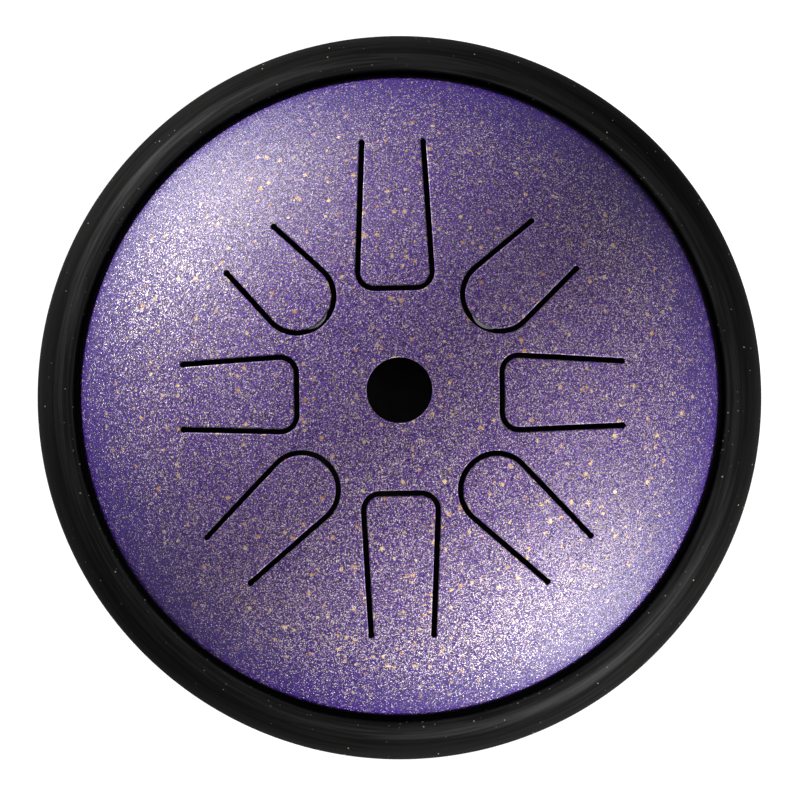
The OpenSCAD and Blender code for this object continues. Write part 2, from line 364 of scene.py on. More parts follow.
class CutSheet:
    """The cut part of a pressed sheet: its plan, pierced by loops, lifted to two surfaces."""

    def __init__(self, loops, outer_r, lift, tongues=0):
        self.loops = loops
        self.lift = lift
        self.plan = []
        self.edges = []
        self.loop_ids = []
        self.outer_ids = self._add(round_points(outer_r, 0)[:, :2])
        for make_loop in loops:
            self.loop_ids.append(self._add(make_loop(EDGE_R)[0]))
        self.roots = []
        for n in range(tongues):
            a, b = (self.loop_ids[n][k] for k in loops[n](0)[2])
            share = np.linspace(0, 1, ROOT_STEPS + 1)[1:-1, None]
            pa, pb = np.array(self.plan[a]), np.array(self.plan[b])
            middle = self._add(pa * (1 - share) + pb * share, closed=False)
            self.roots.append([a, *middle, b])
            self.edges.extend(zip(self.roots[-1][:-1], self.roots[-1][1:]))
        self._fill(outer_r)
        self._triangulate()

    def _add(self, points, closed=True):
        first = len(self.plan)
        self.plan.extend(tuple(p) for p in points)
        ids = list(range(first, len(self.plan)))
        if closed:
            self.edges.extend(zip(ids, ids[1:] + ids[:1]))
        return ids

    def _fill(self, outer_r):
        """Evenly spread points, clear of every edge that is there."""
        steps = int(outer_r / FILL_STEP) + 2
        grid = [
            ((k + (m % 2) / 2) * FILL_STEP, m * FILL_STEP * math.sqrt(0.75))
            for m in range(-2 * steps, 2 * steps + 1)
            for k in range(-steps, steps + 1)
        ]
        grid = np.array(grid)
        grid = grid[np.hypot(grid[:, 0], grid[:, 1]) < outer_r - FILL_STEP / 2]
        there = np.array(self.plan)
        gap = np.array([np.min(np.hypot(*(there - g).T)) for g in grid])
        grid = grid[gap > FILL_STEP / 2]
        for make_loop in self.loops:
            grid = grid[~inside(make_loop(EDGE_R)[0], grid)]
        self._add(grid, closed=False)

    def _triangulate(self):
        found = delaunay_2d_cdt([Vector(p) for p in self.plan], self.edges, [], 0, 1e-6, True)
        place = [ids[0] for ids in found[3]]
        self.triangles = np.array([[place[k] for k in f] for f in found[2]])
        plan = np.array(self.plan)
        middles = plan[self.triangles].mean(1)
        self.owner = np.full(len(middles), -1)
        # A triangle in a tongue gets the tongue's number, one in a hole -2, and the rest keep -1
        for make_loop in self.loops:
            self.owner[inside(make_loop(EDGE_R)[0], middles)] = -2
        for n, root in enumerate(self.roots):
            ids = self.loop_ids[n]
            a, b = ids.index(root[0]), ids.index(root[-1])
            tongue_outline = plan[ids[a:b + 1]]
            self.owner[inside(tongue_outline, middles) & (self.owner == -1)] = n

    def add_to(self, skin, owner):
        """Adds the two faces and the cut edges that belong to one piece; gives its outer rows."""
        chosen = self.triangles[self.owner == owner]
        used = sorted(set(chosen.ravel().tolist()))
        plan = np.array(self.plan)
        low_plan = plan.copy()
        for ids, make_loop in zip(self.loop_ids, self.loops):
            low_plan[ids] = make_loop(0)[0]
        top, top_normal = self.lift(plan, 0)
        low, low_normal = self.lift(low_plan, SHEET_T)
        top_at = dict(zip(used, skin.add_points(top[used])))
        low_at = dict(zip(used, skin.add_points(low[used])))
        for lining, at, normal in ((False, top_at, top_normal), (True, low_at, -low_normal)):
            skin.lining = lining
            for tri in chosen:
                skin.add_face([at[k] for k in tri], normal[tri])
        for n, (ids, make_loop) in enumerate(zip(self.loop_ids, self.loops)):
            if ids[0] not in top_at and ids[len(ids) // 2] not in top_at:
                continue
            rows, normals = [], []
            for step in range(EDGE_STEPS + 1):
                turn = math.pi / 2 * (1 - step / EDGE_STEPS)
                loop, way = make_loop(EDGE_R * (1 - math.cos(turn)))[:2]
                place, up = self.lift(loop, 0)
                place = place - np.array([0, 0, EDGE_R * (1 - math.sin(turn))])
                flat = np.hstack([way, np.zeros((len(way), 1))])
                normals.append(unit(math.cos(turn) * flat + math.sin(turn) * up))
                here = [k in top_at for k in ids]
                if step == 0:
                    rows.append([top_at.get(k) for k in ids])
                else:
                    made = iter(skin.add_points(place[here]))
                    rows.append([next(made) if h else None for h in here])
            rows.append([low_at.get(k) for k in ids])
            normals.append(flat)
            for r in range(len(rows) - 1):
                # Paint rounds the edge, and stops at the cut wall under it, which takes the near-black
                # lining, partly painted shade
                skin.lining = r == len(rows) - 2
                for k in range(len(ids)):
                    m = (k + 1) % len(ids)
                    corners = (rows[r][k], rows[r][m], rows[r + 1][m], rows[r + 1][k])
                    if None in corners or self._on_root(n, ids[k], ids[m], owner):
                        continue
                    upper_normals = (normals[r][k], normals[r][m])
                    lower_normals = (normals[r + 1][m], normals[r + 1][k])
                    skin.add_face(corners, upper_normals + lower_normals)
            if n < len(self.roots):
                self._root_wall(skin, n, owner, top_at, low_at, ids, rows)
        return [top_at.get(k) for k in self.outer_ids], [low_at.get(k) for k in self.outer_ids]

    def _on_root(self, n, k, m, owner):
        """Whether a loop edge belongs to the other side of the tongue's root."""
        if n >= len(self.roots):
            return False
        ids = self.loop_ids[n]
        a, b = ids.index(self.roots[n][0]), ids.index(self.roots[n][-1])
        pair = sorted((ids.index(k), ids.index(m)))
        on_tongue = a <= pair[0] and pair[1] <= b
        return on_tongue != (owner == n)

    def _root_wall(self, skin, n, owner, top_at, low_at, ids, rows):
        """The cut face between a tongue and the shell."""
        root = self.roots[n]
        a, b = np.array(self.plan[root[0]]), np.array(self.plan[root[-1]])
        across = unit(b - a)
        way = np.array([-across[1], across[0], 0])
        outward = a + b
        if way[:2] @ outward < 0:
            way = -way
        normal = way if owner == n else -way
        for k, m in zip(root[:-1], root[1:]):
            skin.add_face((top_at[k], top_at[m], low_at[m], low_at[k]), [normal] * 4)
        for end in (root[0], root[-1]):
            k = ids.index(end)
            column = [row[k] for row in rows]
            for upper, lower in zip(column[1:-1], column[2:]):
                skin.add_face((column[0], upper, lower), [normal] * 3)


def crown_lift(plan, depth):
    """Places plan points on the crown, depth under its outside."""
    radius = CROWN_R - depth
    centre_z = UPPER_SKIRT + CROWN_DROP
    height = np.sqrt(radius ** 2 - np.sum(plan ** 2, axis=1))
    place = np.column_stack([plan, centre_z + height])
    return place, np.column_stack([plan, height]) / radius


def floor_lift(plan, depth):
    place = np.column_stack([plan, np.full(len(plan), LOWER_DEPTH - depth)])
    return place, np.tile([[0.0, 0.0, 1.0]], (len(plan), 1))


def place_skin(skin, flip):
    """Moves a skin from the glue line to its height, upside down where flip is -1."""
    skin.points = [(x, y, SEAM_Z + flip * z) for x, y, z in skin.points]
    skin.normals = [[(a, b, flip * c) for a, b, c in n] for n in skin.normals]


# Shader groups, built once and placed in each material with its own values
def link(tree, source, target):
    tree.links.new(source, target)


def node(tree, kind, **settings):
    made = tree.nodes.new(kind)
    for key, value in settings.items():
        setattr(made, key, value)
    return made


def feed(tree, socket, value):
    """Gives a socket a value, a colour of three numbers, or what another node puts out."""
    if isinstance(value, bpy.types.NodeSocket):
        link(tree, value, socket)
    elif isinstance(value, tuple) and len(socket.default_value) == 4:
        socket.default_value = (*value, 1)
    else:
        socket.default_value = value


def math_node(tree, operation, a, b=None):
    made = node(tree, "ShaderNodeMath", operation=operation)
    feed(tree, made.inputs[0], a)
    if b is not None:
        feed(tree, made.inputs[1], b)
    return made.outputs[0]


def mix_colour(tree, factor, a, b):
    made = node(tree, "ShaderNodeMix", data_type="RGBA")
    for socket, value in ((made.inputs["Factor"], factor), (made.inputs[6], a), (made.inputs[7], b)):
        feed(tree, socket, value)
    return made.outputs[2]


def map_range(tree, value, low, high, to_low, to_high):
    made = node(tree, "ShaderNodeMapRange", interpolation_type="SMOOTHSTEP")
    for name, given in (
        ("Value", value),
        ("From Min", low),
        ("From Max", high),
        ("To Min", to_low),
        ("To Max", to_high),
    ):
        feed(tree, made.inputs[name], given)
    return made.outputs["Result"]


def new_group(name, inputs, outputs):
    tree = bpy.data.node_groups.new(name, "ShaderNodeTree")
    for label, kind, value in inputs:
        socket = tree.interface.new_socket(label, in_out="INPUT", socket_type="NodeSocket" + kind)
        if value is not None:
            socket.default_value = value
    for label, kind in outputs:
        tree.interface.new_socket(label, in_out="OUTPUT", socket_type="NodeSocket" + kind)
    return tree, node(tree, "NodeGroupInput").outputs, node(tree, "NodeGroupOutput").inputs


def flake_group():
    """Flat metal flakes lying at random in a lacquer: where they are, their tone and their lie."""
    tree, given, out = new_group(
        "lacquer_flakes",
        [
            ("Vector", "Vector", None),
            ("Normal", "Vector", None),
            ("Flake Size", "Float", 0.0003),
            ("Cover", "Float", 0.4),
            ("Softness", "Float", 0.05),
            ("Tilt", "Float", 0.3),
        ],
        [("Mask", "Float"), ("Tone", "Float"), ("Normal", "Vector")],
    )
    cells = node(tree, "ShaderNodeTexVoronoi", voronoi_dimensions="3D", feature="F1")
    link(tree, given["Vector"], cells.inputs["Vector"])
    link(tree, math_node(tree, "DIVIDE", 1.0, given["Flake Size"]), cells.inputs["Scale"])
    split = node(tree, "ShaderNodeSeparateColor")
    link(tree, cells.outputs["Color"], split.inputs[0])
    edge = math_node(tree, "SUBTRACT", 1.0, given["Cover"])
    low = math_node(tree, "SUBTRACT", edge, given["Softness"])
    high = math_node(tree, "ADD", edge, given["Softness"])
    link(tree, map_range(tree, split.outputs["Red"], low, high, 0.0, 1.0), out["Mask"])
    link(tree, split.outputs["Green"], out["Tone"])
    lie = node(tree, "ShaderNodeVectorMath", operation="SUBTRACT")
    link(tree, cells.outputs["Color"], lie.inputs[0])
    lie.inputs[1].default_value = (0.5, 0.5, 0.5)
    lean = node(tree, "ShaderNodeVectorMath", operation="SCALE")
    link(tree, lie.outputs[0], lean.inputs[0])
    link(tree, given["Tilt"], lean.inputs["Scale"])
    total = node(tree, "ShaderNodeVectorMath", operation="ADD")
    link(tree, lean.outputs[0], total.inputs[0])
    link(tree, given["Normal"], total.inputs[1])
    whole = node(tree, "ShaderNodeVectorMath", operation="NORMALIZE")
    link(tree, total.outputs[0], whole.inputs[0])
    link(tree, whole.outputs[0], out["Normal"])
    return tree


def speck_group():
    """Small round specks, far apart, such as dust or a single large flake."""
    tree, given, out = new_group(
        "stray_specks",
        [
            ("Vector", "Vector", None),
            ("Spacing", "Float", 0.003),
            ("Share", "Float", 0.3),
            ("Radius", "Float", 0.1),
            ("Core", "Float", 0.6),
        ],
        [("Mask", "Float"), ("Tone", "Float")],
    )
    cells = node(tree, "ShaderNodeTexVoronoi", voronoi_dimensions="3D", feature="F1")
    link(tree, given["Vector"], cells.inputs["Vector"])
    link(tree, math_node(tree, "DIVIDE", 1.0, given["Spacing"]), cells.inputs["Scale"])
    split = node(tree, "ShaderNodeSeparateColor")
    link(tree, cells.outputs["Color"], split.inputs[0])
    # Specks differ in size from one cell to the next
    radius = math_node(tree, "MULTIPLY", given["Radius"], math_node(tree, "ADD", split.outputs["Blue"], 0.4))
    core = math_node(tree, "MULTIPLY", radius, given["Core"])
    near = map_range(tree, cells.outputs["Distance"], core, radius, 1.0, 0.0)
    chosen = math_node(tree, "LESS_THAN", split.outputs["Red"], given["Share"])
    link(tree, math_node(tree, "MULTIPLY", near, chosen), out["Mask"])
    link(tree, split.outputs["Green"], out["Tone"])
    return tree


def drawn_lines_group():
    """Fine lines that run round the drum's axis, as an extrusion die leaves them."""
    tree, given, out = new_group(
        "drawn_lines",
        [("Vector", "Vector", None), ("Spacing", "Float", 0.0006), ("Break", "Float", 3.0)],
        [("Height", "Float")],
    )
    split = node(tree, "ShaderNodeSeparateXYZ")
    link(tree, given["Vector"], split.inputs[0])
    x, y, z = split.outputs
    square_x = math_node(tree, "MULTIPLY", x, x)
    square_y = math_node(tree, "MULTIPLY", y, y)
    radius = math_node(tree, "SQRT", math_node(tree, "ADD", square_x, square_y))
    turn = node(tree, "ShaderNodeMath", operation="ARCTAN2")
    link(tree, y, turn.inputs[0])
    link(tree, x, turn.inputs[1])
    # The turn is folded so that the lines meet where it goes from half a turn to minus half
    fold = math_node(tree, "MULTIPLY", math_node(tree, "ABSOLUTE", turn.outputs[0]), given["Break"])
    place = node(tree, "ShaderNodeCombineXYZ")
    link(tree, math_node(tree, "DIVIDE", radius, given["Spacing"]), place.inputs[0])
    link(tree, math_node(tree, "DIVIDE", z, given["Spacing"]), place.inputs[1])
    link(tree, fold, place.inputs[2])
    noise = node(tree, "ShaderNodeTexNoise")
    link(tree, place.outputs[0], noise.inputs["Vector"])
    noise.inputs["Scale"].default_value = 1.0
    noise.inputs["Detail"].default_value = 3.0
    noise.inputs["Roughness"].default_value = 0.6
    link(tree, noise.outputs[0], out["Height"])
    return tree


FLAKES = flake_group()
SPECKS = speck_group()
DRAWN_LINES = drawn_lines_group()


class Finish:
    """One material, with its shader and the object's own coordinates at hand."""

    def __init__(self, name, **values):
        self.material = bpy.data.materials.new(name)
        self.material.use_nodes = True
        self.tree = self.material.node_tree
        self.shader = self.tree.nodes["Principled BSDF"]
        for label, value in values.items():
            self.shader.inputs[label.replace("_", " ")].default_value = value
        self.place = node(self.tree, "ShaderNodeTexCoord").outputs["Object"]
        self.normal = node(self.tree, "ShaderNodeNewGeometry").outputs["Normal"]

    def group(self, group, **values):
        made = node(self.tree, "ShaderNodeGroup", node_tree=group)
        link(self.tree, self.place, made.inputs["Vector"])
        for label, value in values.items():
            feed(self.tree, made.inputs[label.replace("_", " ")], value)
        if "Normal" in made.inputs:
            link(self.tree, self.normal, made.inputs["Normal"])
        return made.outputs

    def radius(self):
        """Distance from the drum's axis, in metres."""
        split = node(self.tree, "ShaderNodeSeparateXYZ")
        link(self.tree, self.place, split.inputs[0])
        x, y = (math_node(self.tree, "POWER", split.outputs[k], 2.0) for k in (0, 1))
        return math_node(self.tree, "SQRT", math_node(self.tree, "ADD", x, y))

    def noise(self, scale, detail=2.0, roughness=0.5):
        made = node(self.tree, "ShaderNodeTexNoise")
        link(self.tree, self.place, made.inputs["Vector"])
        made.inputs["Scale"].default_value = scale
        made.inputs["Detail"].default_value = detail
        made.inputs["Roughness"].default_value = roughness
        return made.outputs[0]

    def bump(self, height, strength, distance):
        made = node(self.tree, "ShaderNodeBump")
        made.inputs["Strength"].default_value = strength
        made.inputs["Distance"].default_value = distance
        link(self.tree, height, made.inputs["Height"])
        return made.outputs[0]

    def set(self, label, source):
        link(self.tree, source, self.shader.inputs[label])


def violet_lacquer():
    """Satin violet lacquer, thick with fine pearl and ochre grains, and here and there a gold flake."""
    f = Finish("violet_flake_lacquer", Specular_IOR_Level=0.37)
    t = f.tree
    radius = f.radius()
    # The grains are sprayed from above, so few of them lie on the steep rim
    steep = map_range(t, radius, RIM_THINS[0] * MM, RIM_THINS[1] * MM, 0.0, 1.0)
    left = math_node(t, "SUBTRACT", 1.0, math_node(t, "MULTIPLY", steep, 0.75))
    cloud = map_range(t, f.noise(scale=170.0, detail=3.0), 0.35, 0.65, 0.92, 1.08)
    cover = math_node(t, "MULTIPLY", math_node(t, "MULTIPLY", cloud, left), 0.31)
    grain = f.group(FLAKES, Flake_Size=GRAIN_SIZE, Cover=cover, Softness=0.02, Tilt=0.45)
    depth = f.group(FLAKES, Flake_Size=DEPTH_SIZE, Cover=0.5, Softness=0.25, Tilt=0.0)
    gold = f.group(SPECKS, Spacing=0.0022, Share=0.75, Radius=0.29, Core=0.1)
    # The violet darkens towards the rim: painted shade
    rim_shade = map_range(t, radius, RIM_SHADE_RAMP[0] * MM, RIM_SHADE_RAMP[1] * MM, 0.0, 1.0)
    bright_rim_shaded = mix_colour(t, rim_shade, VIOLET_CROWN, VIOLET_RIM_SHADE)
    violet = mix_colour(t, depth["Mask"], VIOLET_DARK, bright_rim_shaded)
    pale = math_node(t, "POWER", grain["Tone"], 1.5)
    # Most of the grains are pearl, and the rest are ochre
    ochre = map_range(t, depth["Tone"], 0.6, 0.7, 0.0, 1.0)
    lightest = mix_colour(t, ochre, PEARL, OCHRE)
    grains = mix_colour(t, pale, GRAIN_DARK, lightest)
    flaked = mix_colour(t, grain["Mask"], violet, grains)
    # A gold flake is a clump of gilt grains, fewer towards its edge
    gilt = map_range(t, math_node(t, "SUBTRACT", gold["Mask"], grain["Tone"]), 0.0, 0.1, 0.0, 1.0)
    gold_mask = math_node(t, "MULTIPLY", gilt, left)
    gilding = mix_colour(t, gold["Tone"], GILT_DEEP, GILT_PALE)
    golden = mix_colour(t, gold_mask, flaked, gilding)
    # Down in the gap to the ring the colour goes near black: painted shade
    gap_shade = map_range(t, radius, GAP_SHADE_RAMP[0] * MM, GAP_SHADE_RAMP[1] * MM, 0.0, 1.0)
    f.set("Base Color", mix_colour(t, gap_shade, golden, GAP_SHADE_BLACK))
    shiny = math_node(t, "MAXIMUM", gold_mask, grain["Mask"])
    f.set("Metallic", math_node(t, "MULTIPLY", shiny, 0.18))
    # Where the grains lie thick, round the crown, the lacquer over them dries matt
    matt = map_range(t, radius, CROWN_MATT[0] * MM, CROWN_MATT[1] * MM, 0.38, 0.0)
    satin = map_range(t, depth["Mask"], 0.0, 1.0, 0.54, 0.42)
    f.set("Roughness", math_node(t, "ADD", satin, matt))
    f.set("Normal", grain["Normal"])
    return f.material


def black_primer_and_shade():
    """Thin matt primer inside the shells and on the cut walls of the slots, so near black that it is partly
    painted shade in the hollow.
    """
    f = Finish("black_primer_and_shade", Roughness=0.7, Specular_IOR_Level=0.2)
    t = f.tree
    drips = f.noise(scale=260.0, detail=4.0, roughness=0.6)
    # Near-black primer, partly painted shade for the dark inside of the drum
    f.set("Base Color", mix_colour(t, drips, (0.006, 0.006, 0.006), (0.014, 0.013, 0.013)))
    f.set("Roughness", map_range(t, drips, 0.3, 0.7, 0.6, 0.8))
    f.set("Normal", f.bump(drips, strength=0.3, distance=0.0001))
    return f.material


def ring_rubber():
    """Black extruded rubber: fine lines round the ring and a little pale dust."""
    f = Finish("black_rubber", Roughness=0.8, IOR=1.08, Coat_Roughness=0.46, Coat_IOR=1.3)
    t = f.tree
    lines = f.group(DRAWN_LINES, Spacing=0.0007, Break=4.0)
    dust = f.group(SPECKS, Spacing=0.0017, Share=0.5, Radius=0.10)
    # Handling has polished a band on top of the ring in streaks; its side is dull
    radius = f.radius()
    band_in = map_range(t, radius, RING_BAND[0] * MM, RING_BAND[1] * MM, 0.5, 1.0)
    band_out = map_range(t, radius, RING_BAND[1] * MM, RING_BAND[2] * MM, 1.0, 0.02)
    streak = map_range(t, lines["Height"], 0.35, 0.65, 0.4, 1.0)
    f.set("Coat Weight", math_node(t, "MULTIPLY", math_node(t, "MULTIPLY", band_in, band_out), streak))
    black = mix_colour(t, streak, (0.0008, 0.0008, 0.0008), (0.0054, 0.0052, 0.0050))
    dusty = math_node(t, "MULTIPLY", dust["Mask"], dust["Tone"])
    # More of it has gathered along the lip beside the dome
    lip_dust = f.group(SPECKS, Spacing=0.0008, Share=0.5, Radius=0.16)
    beside = map_range(t, radius, LIP_DUST[0] * MM, LIP_DUST[1] * MM, 1.0, 0.0)
    lip_tone = math_node(t, "MULTIPLY", lip_dust["Mask"], lip_dust["Tone"])
    gathered = math_node(t, "MULTIPLY", lip_tone, beside)
    dusty = math_node(t, "MAXIMUM", dusty, gathered)
    f.set("Base Color", mix_colour(t, dusty, black, (0.30, 0.29, 0.27)))
    f.set("Normal", f.bump(lines["Height"], strength=0.6, distance=0.00008))
    return f.material


def foot_rubber():
    f = Finish("foot_rubber", Roughness=0.6)
    t = f.tree
    bloom = f.noise(scale=300.0, detail=4.0)
    pores = f.noise(scale=2400.0, detail=3.0)
    f.set("Base Color", mix_colour(t, bloom, (0.010, 0.010, 0.010), (0.022, 0.021, 0.020)))
    f.set("Roughness", map_range(t, bloom, 0.3, 0.7, 0.5, 0.7))
    f.set("Normal", f.bump(pores, strength=0.4, distance=0.00004))
    return f.material


def zinc_steel():
    """Zinc plated steel with a faint blue passivation and plating blotches."""
    f = Finish("zinc_steel", Metallic=1.0, Roughness=0.35)
    t = f.tree
    blotch = f.noise(scale=420.0, detail=4.0, roughness=0.6)
    plating = f.noise(scale=3000.0, detail=2.0)
    f.set("Base Color", mix_colour(t, blotch, (0.55, 0.57, 0.60), (0.72, 0.72, 0.70)))
    f.set("Roughness", map_range(t, blotch, 0.3, 0.7, 0.26, 0.45))
    f.set("Normal", f.bump(plating, strength=0.25, distance=0.00003))
    return f.material


def cured_adhesive():
    f = Finish("cured_adhesive", Roughness=0.45)
    t = f.tree
    clouding = f.noise(scale=500.0, detail=3.0)
    ripples = f.noise(scale=900.0, detail=2.0)
    f.set("Base Color", mix_colour(t, clouding, (0.50, 0.44, 0.30), (0.62, 0.56, 0.42)))
    f.set("Normal", f.bump(ripples, strength=0.4, distance=0.0001))
    return f.material


paint = violet_lacquer()
primer_and_shade = black_primer_and_shade()
rubber = ring_rubber()
foot_black = foot_rubber()
zinc = zinc_steel()
adhesive = cured_adhesive()


# Geometry Nodes
def geometry_tree(name, inputs):
    tree = bpy.data.node_groups.new(name, "GeometryNodeTree")
    tree.interface.new_socket("Geometry", in_out="INPUT", socket_type="NodeSocketGeometry")
    for label, kind, value in inputs:
        socket = tree.interface.new_socket(label, in_out="INPUT", socket_type="NodeSocket" + kind)
        if value is not None:
            socket.default_value = value
    tree.interface.new_socket("Geometry", in_out="OUTPUT", socket_type="NodeSocketGeometry")
    return tree, node(tree, "NodeGroupInput").outputs, node(tree, "NodeGroupOutput").inputs


def end_tree(tree, given, out, geometry):
    """Every tree ends with real geometry and its material."""
    real = node(tree, "GeometryNodeRealizeInstances")
    link(tree, geometry, real.inputs[0])
    dressed = node(tree, "GeometryNodeSetMaterial")
    link(tree, real.outputs[0], dressed.inputs["Geometry"])
    link(tree, given["Material"], dressed.inputs["Material"])
    link(tree, dressed.outputs[0], out["Geometry"])


def sweep_tree():
    """Sweeps an outline round a circle; the outline's X is outwards and its Y is up."""
    tree, given, out = geometry_tree(
        "sweep_round_axis",
        [("Circle Radius", "Float", 0.07), ("Steps", "Int", 64), ("Material", "Material", None)],
    )
    path = node(tree, "GeometryNodeCurvePrimitiveCircle")
    link(tree, given["Circle Radius"], path.inputs["Radius"])
    link(tree, given["Steps"], path.inputs["Resolution"])
    outline = node(tree, "GeometryNodeMeshToCurve")
    link(tree, given["Geometry"], outline.inputs[0])
    swept = node(tree, "GeometryNodeCurveToMesh")
    link(tree, path.outputs[0], swept.inputs[0])
    link(tree, outline.outputs[0], swept.inputs["Profile Curve"])
    end_tree(tree, given, out, swept.outputs[0])
    return tree


def repeat_tree():
    """Stands copies of one piece on a circle, each turned to its azimuth."""
    tree, given, out = geometry_tree(
        "repeat_on_circle",
        [
            ("Circle Radius", "Float", 0.03),
            ("Count", "Int", 4),
            ("First Azimuth", "Float", 0.0),
            ("Material", "Material", None),
        ],
    )
    path = node(tree, "GeometryNodeMeshCircle")
    link(tree, given["Count"], path.inputs["Vertices"])
    link(tree, given["Circle Radius"], path.inputs["Radius"])
    index = node(tree, "GeometryNodeInputIndex")
    share = node(tree, "ShaderNodeMath", operation="DIVIDE")
    link(tree, index.outputs[0], share.inputs[0])
    link(tree, given["Count"], share.inputs[1])
    turn = node(tree, "ShaderNodeMath", operation="MULTIPLY")
    link(tree, share.outputs[0], turn.inputs[0])
    turn.inputs[1].default_value = 2 * math.pi
    turned = node(tree, "ShaderNodeCombineXYZ")
    link(tree, turn.outputs[0], turned.inputs["Z"])
    copies = node(tree, "GeometryNodeInstanceOnPoints")
    link(tree, path.outputs[0], copies.inputs["Points"])
    link(tree, given["Geometry"], copies.inputs["Instance"])
    link(tree, turned.outputs[0], copies.inputs["Rotation"])
    first = node(tree, "ShaderNodeCombineXYZ")
    link(tree, given["First Azimuth"], first.inputs["Z"])
    whole = node(tree, "GeometryNodeTransform")
    link(tree, copies.outputs[0], whole.inputs["Geometry"])
    link(tree, first.outputs[0], whole.inputs["Rotation"])
    end_tree(tree, given, out, whole.outputs[0])
    return tree


def run_tree(name, source, tree, smooth_below, **values):
    """Runs a tree on a mesh and keeps the result as a plain mesh object."""
    carrier = bpy.data.objects.new(name + "_source", source)
    bpy.context.scene.collection.objects.link(carrier)
    modifier = carrier.modifiers.new("nodes", "NODES")
    modifier.node_group = tree
    sockets = {s.name: s.identifier for s in tree.interface.items_tree if s.in_out == "INPUT"}
    for label, value in values.items():
        modifier[sockets[label.replace("_", " ")]] = value
    bpy.context.view_layer.update()
    ready = carrier.evaluated_get(bpy.context.evaluated_depsgraph_get())
    mesh = bpy.data.meshes.new_from_object(ready)
    bpy.data.objects.remove(carrier)
    mesh.shade_smooth()
    mesh.set_sharp_from_angle(angle=math.radians(smooth_below))
    piece = bpy.data.objects.new(name, mesh)
    bpy.context.scene.collection.objects.link(piece)
    return piece


SWEEP = sweep_tree()
REPEAT = repeat_tree()

# Upper shell and tongues
slots = [lambda grow, shape=shape: slot_loop(shape, grow) for shape in TONGUES]
crown = CutSheet(
    slots + [lambda grow: circle_loop(HOLE_R, grow)],
    CUT_R,
    crown_lift,
    tongues=len(TONGUES),
)
upper = Skin()
outer_row, inner_row = crown.add_to(upper, -1)
crown_z = UPPER_SKIRT + CROWN_DROP
crown_join = math.degrees(math.acos((SHELL_R - KNUCKLE_R) / (CROWN_R - KNUCKLE_R)))
cut_turn = math.degrees(math.acos(CUT_R / CROWN_R))
cut_turn_in = math.degrees(math.acos(CUT_R / (CROWN_R - SHEET_T)))
rim_painted, rim_lining = rim_section(UPPER_SKIRT, crown_join)
lathe(
    upper,
    [arc(0, crown_z, CROWN_R, cut_turn, crown_join, steps=3), *rim_painted],
    [*rim_lining, arc(0, crown_z, CROWN_R - SHEET_T, crown_join, cut_turn_in, steps=3, way=-1)],
    outer_row,
    inner_row,
)
place_skin(upper, 1)
upper_shell = upper.make("upper_shell_pressing", paint, primer_and_shade)
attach(upper_shell, "drum")
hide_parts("upper_shell")

for n, shape in enumerate(TONGUES):
    skin = Skin()
    crown.add_to(skin, n)
    place_skin(skin, 1)
    tongue = skin.make(f"tongue_{n + 1}_blade", paint, primer_and_shade)
    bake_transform(tongue)
    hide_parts(f"tongue_{n + 1}")

# Lower shell
screw_places = [
    (FOOT_CIRCLE_R * math.cos(math.radians(a)), FOOT_CIRCLE_R * math.sin(math.radians(a)))
    for a in FOOT_AZIMUTHS
]
base = CutSheet(
    [lambda grow, at=at: circle_loop(SCREW_HOLE_R, grow, at, SCREW_HOLE_STEPS) for at in screw_places],
    FLOOR_R,
    floor_lift,
)
lower = Skin()
outer_row, inner_row = base.add_to(lower, -1)
side_z = LOWER_SKIRT + CROWN_DROP
bend_join = math.degrees(math.atan2(FLOOR_BEND_Y - side_z, FLOOR_R))
rim_painted, rim_lining = rim_section(LOWER_SKIRT, crown_join)
lathe(
    lower,
    [
        arc(FLOOR_R, FLOOR_BEND_Y, FLOOR_BEND_R, 90, bend_join, steps=6),
        arc(0, side_z, CROWN_R, bend_join, crown_join, steps=10),
        *rim_painted,
    ],
    [
        *rim_lining,
        arc(0, side_z, CROWN_R - SHEET_T, crown_join, bend_join, steps=10, way=-1),
        arc(FLOOR_R, FLOOR_BEND_Y, FLOOR_BEND_R - SHEET_T, bend_join, 90, steps=6, way=-1),
    ],
    outer_row,
    inner_row,
)
place_skin(lower, -1)
lower_shell = lower.make("lower_shell_pressing", paint, primer_and_shade)
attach(lower_shell, "drum")
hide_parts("lower_shell")

# Rubber ring
def ring_outline():
    """Half-round section with rounded lips and the groove that grips both flanges."""
    lip_x = RING_IN_R + RING_LIP
    lip_z = math.sqrt((RING_ARC_R - RING_LIP) ** 2 - (lip_x - RING_ARC_X) ** 2)
    lip_turn = math.degrees(math.atan2(lip_z, lip_x - RING_ARC_X))
    outside = arc(RING_ARC_X, 0, RING_ARC_R, -lip_turn, lip_turn, steps=44)[:, :2]
    top_lip = arc(lip_x, lip_z, RING_LIP, lip_turn, 180, steps=8)[1:, :2]
    groove = np.array([
        (RING_IN_R, GROOVE_HALF + BEND_RELIEF),
        (RING_IN_R + BEND_RELIEF, GROOVE_HALF),
        (GROOVE_R, GROOVE_HALF),
    ])
    flip = np.array([1, -1])
    low_half = np.vstack([groove[::-1], top_lip[::-1]]) * flip
    return np.vstack([outside, top_lip, groove, low_half])


def outline_mesh(name, points, centre_r):
    mesh = bpy.data.meshes.new(name)
    count = len(points)
    place = [((r - centre_r) * MM, z * MM, 0) for r, z in points]
    mesh.from_pydata(place, [(k, (k + 1) % count) for k in range(count)], [])
    return mesh


ring = run_tree(
    "rubber_edge_ring",
    outline_mesh("ring_outline", ring_outline(), RING_IN_R),
    SWEEP,
    smooth_below=25,
    Circle_Radius=RING_IN_R * MM,
    Steps=ROUND_STEPS,
    Material=rubber,
)
ring.data.transform(Matrix.Translation((0, 0, SEAM_Z * MM)))
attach(ring, "drum")
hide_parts("rubber_ring")


